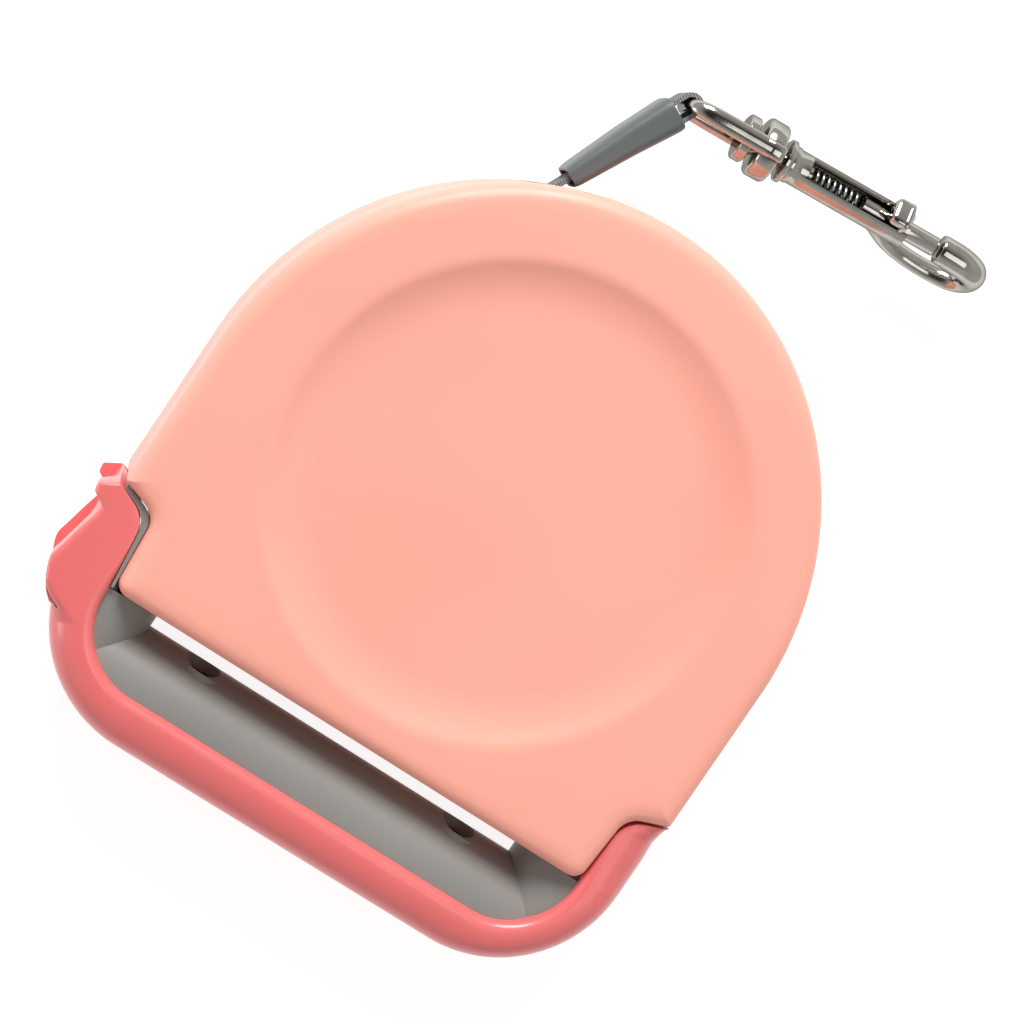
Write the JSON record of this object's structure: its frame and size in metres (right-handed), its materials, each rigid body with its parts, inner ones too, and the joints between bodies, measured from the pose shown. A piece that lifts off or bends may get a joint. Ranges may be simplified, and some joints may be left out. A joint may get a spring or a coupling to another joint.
{
  "type": "retractable dog leash",
  "caption": "Retractable leash with a round dished housing, U-shaped handle with a thumb brake, and a swivelling clip at the end of its sleeved tape.",
  "frame": {"origin": "centre of the footprint at the level the leash lies on", "axes": "+Z through the housing's thickness, front face up; +Y from the handle bar towards the leash exit; +X along the handle bar"},
  "size_m": [0.1328, 0.1756, 0.032],
  "materials": {
    "housing_pink": "satin",
    "handle_coral": "semi-gloss",
    "liner_grey": "soft matte",
    "sleeve_grey": "semi-matte",
    "tape_webbing": "woven",
    "hook_nickel": "polished nickel",
    "steel": "satin",
    "reel_plastic": "moulded"
  },
  "bodies": {
    "housing": {"rear_cover": "housing_pink", "front_cover": "housing_pink", "handle_rear_shell": "handle_coral", "handle_front_shell": "handle_coral", "grip_liner": "liner_grey", "liner_screws": "steel", "housing_screws": "steel", "handle_screws": "steel", "spool_axle": "steel", "axle_washers": "steel", "exit_guide": "sleeve_grey", "guide_pins": "steel", "lever_pin": "steel", "button_spring": "steel"},
    "reel": {"reel_drum": "reel_plastic", "reel_cover": "reel_plastic", "reel_screws": "steel", "power_spring": "steel", "wound_tape": "tape_webbing"},
    "leash_end": {"tape_lead": "tape_webbing", "leash_sleeve": "sleeve_grey", "tape_loop": "tape_webbing"},
    "eye": {"swivel_eye": "hook_nickel", "swivel_post": "hook_nickel"},
    "hook": {"hook_body": "hook_nickel", "plunger_spring": "steel"},
    "plunger": {"hook_plunger": "hook_nickel"},
    "button": {"brake_button": "handle_coral"},
    "lever": {"brake_lever": "reel_plastic"}
  },
  "joints": [
    {"name": "reel_spin", "type": "hinge", "parent": "housing", "child": "reel", "pos_m": [0.0016, -0.0058, 0.016], "axis": [0, 0, 1], "range_deg": [-30, 0], "stiffness_Nm_per_rad": 0.02, "springref_deg": 28.65},
    {"name": "tape_pull", "type": "slide", "parent": "housing", "child": "leash_end", "axis": [0.4226, 0.9063, 0], "range_m": [0, 0.0247]},
    {"name": "eye_fold", "type": "hinge", "parent": "leash_end", "child": "eye", "pos_m": [-0.01117, 0.07827, 0.016], "axis": [0, 0, 1], "range_deg": [-20, 115]},
    {"name": "hook_swivel", "type": "hinge", "parent": "eye", "child": "hook", "pos_m": [-0.01117, 0.07827, 0.016], "axis": [0.9954, 0.0958, 0], "continuous": true},
    {"name": "plunger_slide", "type": "slide", "parent": "hook", "child": "plunger", "axis": [-0.9954, -0.0958, 0], "range_m": [0, 0.007], "stiffness_N_per_m": 300, "springref_m": -0.003, "deforming": ["plunger_spring"]},
    {"name": "button_press", "type": "slide", "parent": "housing", "child": "button", "axis": [1, 0, 0], "range_m": [0, 0.0022], "stiffness_N_per_m": 800, "springref_m": -0.002, "deforming": ["button_spring"]},
    {"name": "lever_swing", "type": "hinge", "parent": "housing", "child": "lever", "pos_m": [-0.0434, -0.0328, 0.013], "axis": [0, 0, 1], "range_deg": [0, 5.8]}
  ],
  "couplings": [
    {"joint": "tape_pull", "follows": "reel_spin", "m_per_rad": -0.0471},
    {"joint": "lever_swing", "follows": "button_press", "rad_per_m": 44.25}
  ]
}
